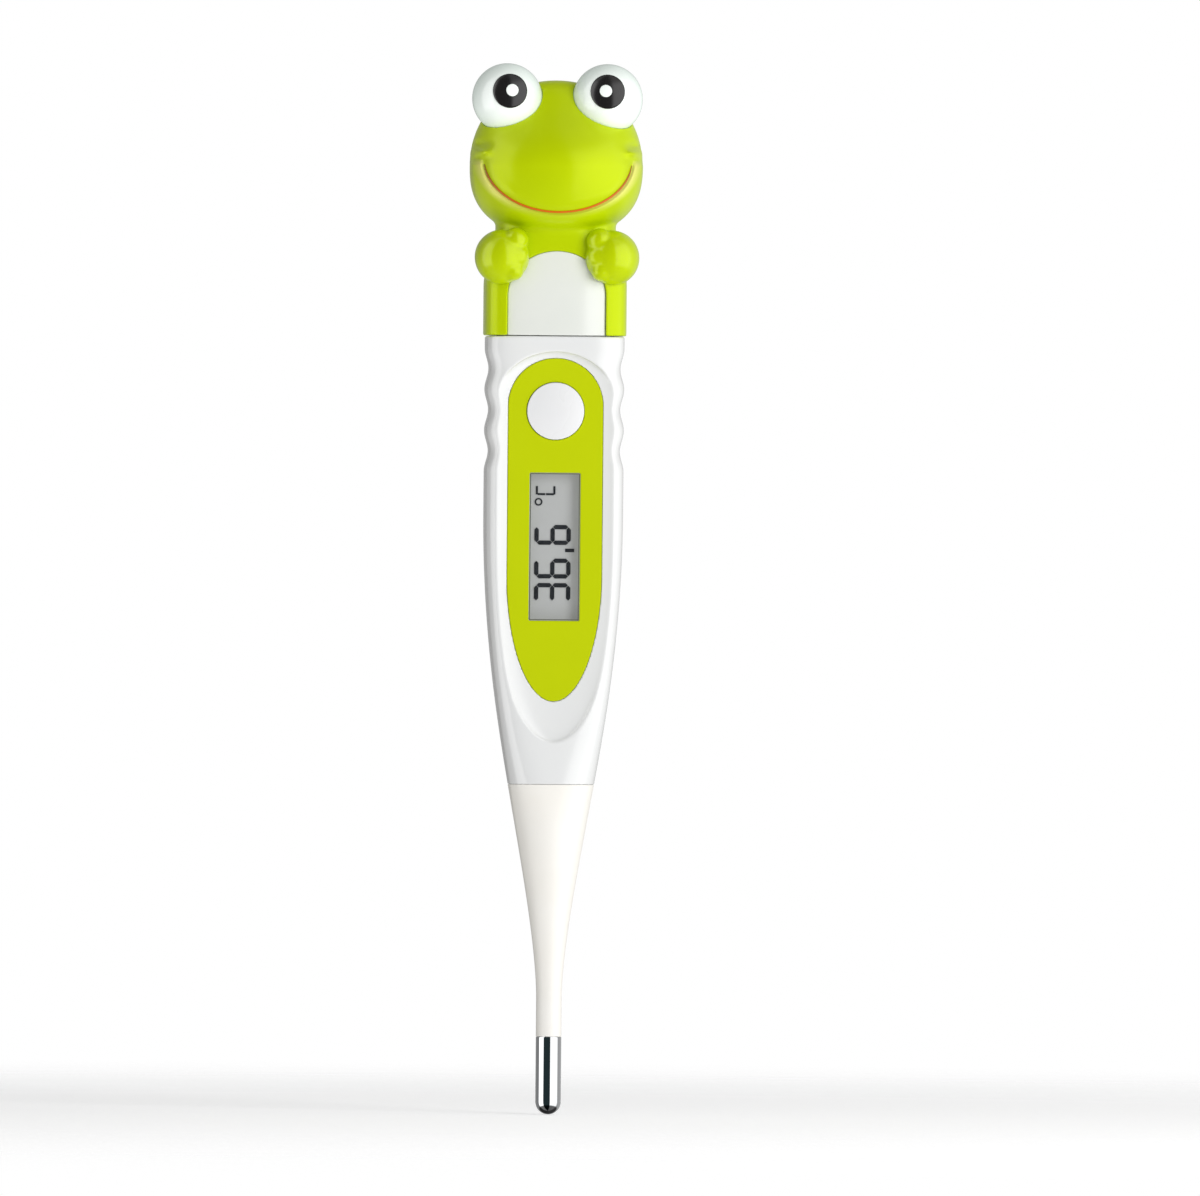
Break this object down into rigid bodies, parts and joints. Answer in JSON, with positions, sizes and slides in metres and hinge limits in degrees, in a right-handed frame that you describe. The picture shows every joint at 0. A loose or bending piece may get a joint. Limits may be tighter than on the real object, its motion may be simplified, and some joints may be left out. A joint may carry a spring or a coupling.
{
  "type": "digital thermometer",
  "caption": "Pen-style digital thermometer with a bendable neck, metal sensor tip, display window, push button and a pull-off frog-shaped battery cover.",
  "frame": {"origin": "centre of the sensor cap's rounded end, on the long axis", "axes": "+Z along the long axis from the sensor tip to the frog's head; the display and the frog's face look along -Y; +X is on the right of someone facing the display"},
  "size_m": [0.0248, 0.0159, 0.15],
  "materials": {
    "white_abs": "glossy moulded white plastic",
    "lime_plate": "satin lime moulded plastic",
    "clear_acrylic": "polished clear acrylic",
    "button_white": "satin light grey-white plastic",
    "lcd_glass": "polished display glass",
    "lcd_backing": "matt grey reflective film",
    "lcd_ink": "dark display segments",
    "frame_white": "matt moulded plastic",
    "silicone_pink": "layered conductive silicone",
    "circuit_laminate": "green solder mask on laminate",
    "epoxy_black": "glossy black epoxy",
    "resistor_black": "matt black glaze",
    "capacitor_tan": "tan ceramic",
    "switch_black": "matt black moulded plastic",
    "sheet_steel": "stamped sheet steel",
    "plunger_red": "moulded plastic",
    "buzzer_brass": "rolled brass disc",
    "piezo_ceramic": "silvered white ceramic",
    "carrier_grey": "dark grey moulded plastic",
    "cell_steel": "nickel-plated steel",
    "gasket_dark": "moulded nylon seal",
    "seal_rubber": "soft silicone ring",
    "sleeve_white": "matt white moulded plastic",
    "frog_lime": "glossy lime moulded plastic",
    "eye_white": "glossy white plastic",
    "pupil_dark": "glossy near-black plastic",
    "mouth_orange": "glossy orange-red paint",
    "belly_white": "glossy off-white plastic",
    "neck_elastomer": "smooth cream-white elastomer",
    "polished_steel": "mirror-polished stainless steel",
    "bead_black": "glass-coated bead",
    "potting_dark": "dark heat-conducting epoxy",
    "wire_enamel": "enamelled fine wire"
  },
  "bodies": {
    "housing": {"housing": "white_abs", "face_plate": "lime_plate", "window_lens": "clear_acrylic", "lcd_front_glass": "lcd_glass", "lcd_rear_glass": "lcd_glass", "lcd_reflector": "lcd_backing", "lcd_segments": "lcd_ink", "lcd_frame": "frame_white", "elastomer_connectors": "silicone_pink", "circuit_board": "circuit_laminate", "chip_encapsulant": "epoxy_black", "chip_resistors": "resistor_black", "chip_capacitors": "capacitor_tan", "switch_base": "switch_black", "switch_cover": "sheet_steel", "snap_dome": "sheet_steel", "buzzer_diaphragm": "buzzer_brass", "buzzer_ceramic": "piezo_ceramic", "battery_carrier": "carrier_grey", "contact_positive": "sheet_steel", "contact_negative": "sheet_steel", "cover_seal": "seal_rubber", "neck_root": "neck_elastomer", "lead_wires": "wire_enamel"},
    "power_button": {"power_button": "button_white"},
    "switch_plunger": {"switch_plunger": "plunger_red"},
    "battery_cover": {"cover_sleeve": "sleeve_white", "frog_front_shell": "frog_lime", "frog_back_shell": "frog_lime", "eye_left": "eye_white", "eye_right": "eye_white", "pupil_left": "pupil_dark", "pupil_right": "pupil_dark", "pupil_highlights": "eye_white", "mouth_line": "mouth_orange", "belly_panel": "belly_white", "paw_left": "frog_lime", "paw_right": "frog_lime"},
    "button_cell": {"cell_can": "cell_steel", "cell_gasket": "gasket_dark", "cell_cap": "cell_steel"},
    "neck_1": {"neck_link_1": "neck_elastomer"},
    "neck_2": {"neck_link_2": "neck_elastomer"},
    "neck_3": {"neck_link_3": "neck_elastomer"},
    "neck_4": {"neck_link_4": "neck_elastomer"},
    "neck_5": {"neck_link_5": "neck_elastomer"},
    "neck_6": {"neck_link_6": "neck_elastomer"},
    "neck_7": {"neck_link_7": "neck_elastomer"},
    "tip": {"neck_end": "neck_elastomer", "sensor_cap": "polished_steel", "thermistor_bead": "bead_black", "thermal_epoxy": "potting_dark"}
  },
  "joints": [
    {"name": "button_press", "type": "slide", "parent": "housing", "child": "power_button", "axis": [0, 1, 0], "range_m": [0, 0.00035]},
    {"name": "plunger_press", "type": "slide", "parent": "housing", "child": "switch_plunger", "axis": [0, 1, 0], "range_m": [0, 0.00035]},
    {"name": "cover_pull", "type": "slide", "parent": "housing", "child": "battery_cover", "axis": [0, 0, 1], "range_m": [0, 0.016]},
    {"name": "cell_lift", "type": "slide", "parent": "housing", "child": "button_cell", "axis": [0, 0, 1], "range_m": [0, 0.0096]},
    {"name": "neck_side_1", "type": "hinge", "parent": "housing", "child": "neck_1", "pos_m": [0, 0, 0.0365], "axis": [0, 1, 0], "range_deg": [-11.25, 11.25], "stiffness_Nm_per_rad": 0.0002, "deforming": ["lead_wires"]},
    {"name": "neck_front_1", "type": "hinge", "parent": "neck_1", "child": "neck_2", "pos_m": [0, 0, 0.0335], "axis": [1, 0, 0], "range_deg": [-11.25, 11.25], "stiffness_Nm_per_rad": 0.0002, "deforming": ["lead_wires"]},
    {"name": "neck_side_2", "type": "hinge", "parent": "neck_2", "child": "neck_3", "pos_m": [0, 0, 0.0305], "axis": [0, 1, 0], "range_deg": [-11.25, 11.25], "stiffness_Nm_per_rad": 0.0002, "deforming": ["lead_wires"]},
    {"name": "neck_front_2", "type": "hinge", "parent": "neck_3", "child": "neck_4", "pos_m": [0, 0, 0.0275], "axis": [1, 0, 0], "range_deg": [-11.25, 11.25], "stiffness_Nm_per_rad": 0.0002, "deforming": ["lead_wires"]},
    {"name": "neck_side_3", "type": "hinge", "parent": "neck_4", "child": "neck_5", "pos_m": [0, 0, 0.0245], "axis": [0, 1, 0], "range_deg": [-11.25, 11.25], "stiffness_Nm_per_rad": 0.0002, "deforming": ["lead_wires"]},
    {"name": "neck_front_3", "type": "hinge", "parent": "neck_5", "child": "neck_6", "pos_m": [0, 0, 0.0215], "axis": [1, 0, 0], "range_deg": [-11.25, 11.25], "stiffness_Nm_per_rad": 0.0002, "deforming": ["lead_wires"]},
    {"name": "neck_side_4", "type": "hinge", "parent": "neck_6", "child": "neck_7", "pos_m": [0, 0, 0.0185], "axis": [0, 1, 0], "range_deg": [-11.25, 11.25], "stiffness_Nm_per_rad": 0.0002, "deforming": ["lead_wires"]},
    {"name": "neck_front_4", "type": "hinge", "parent": "neck_7", "child": "tip", "pos_m": [0, 0, 0.0155], "axis": [1, 0, 0], "range_deg": [-11.25, 11.25], "stiffness_Nm_per_rad": 0.0002, "deforming": ["lead_wires"]}
  ],
  "couplings": [
    {"joint": "plunger_press", "follows": "button_press", "ratio": 1},
    {"joint": "cell_lift", "follows": "cover_pull", "ratio": 0.6},
    {"joint": "neck_side_2", "follows": "neck_side_1", "ratio": 1},
    {"joint": "neck_front_2", "follows": "neck_front_1", "ratio": 1},
    {"joint": "neck_side_3", "follows": "neck_side_1", "ratio": 1},
    {"joint": "neck_front_3", "follows": "neck_front_1", "ratio": 1},
    {"joint": "neck_side_4", "follows": "neck_side_1", "ratio": 1},
    {"joint": "neck_front_4", "follows": "neck_front_1", "ratio": 1}
  ]
}
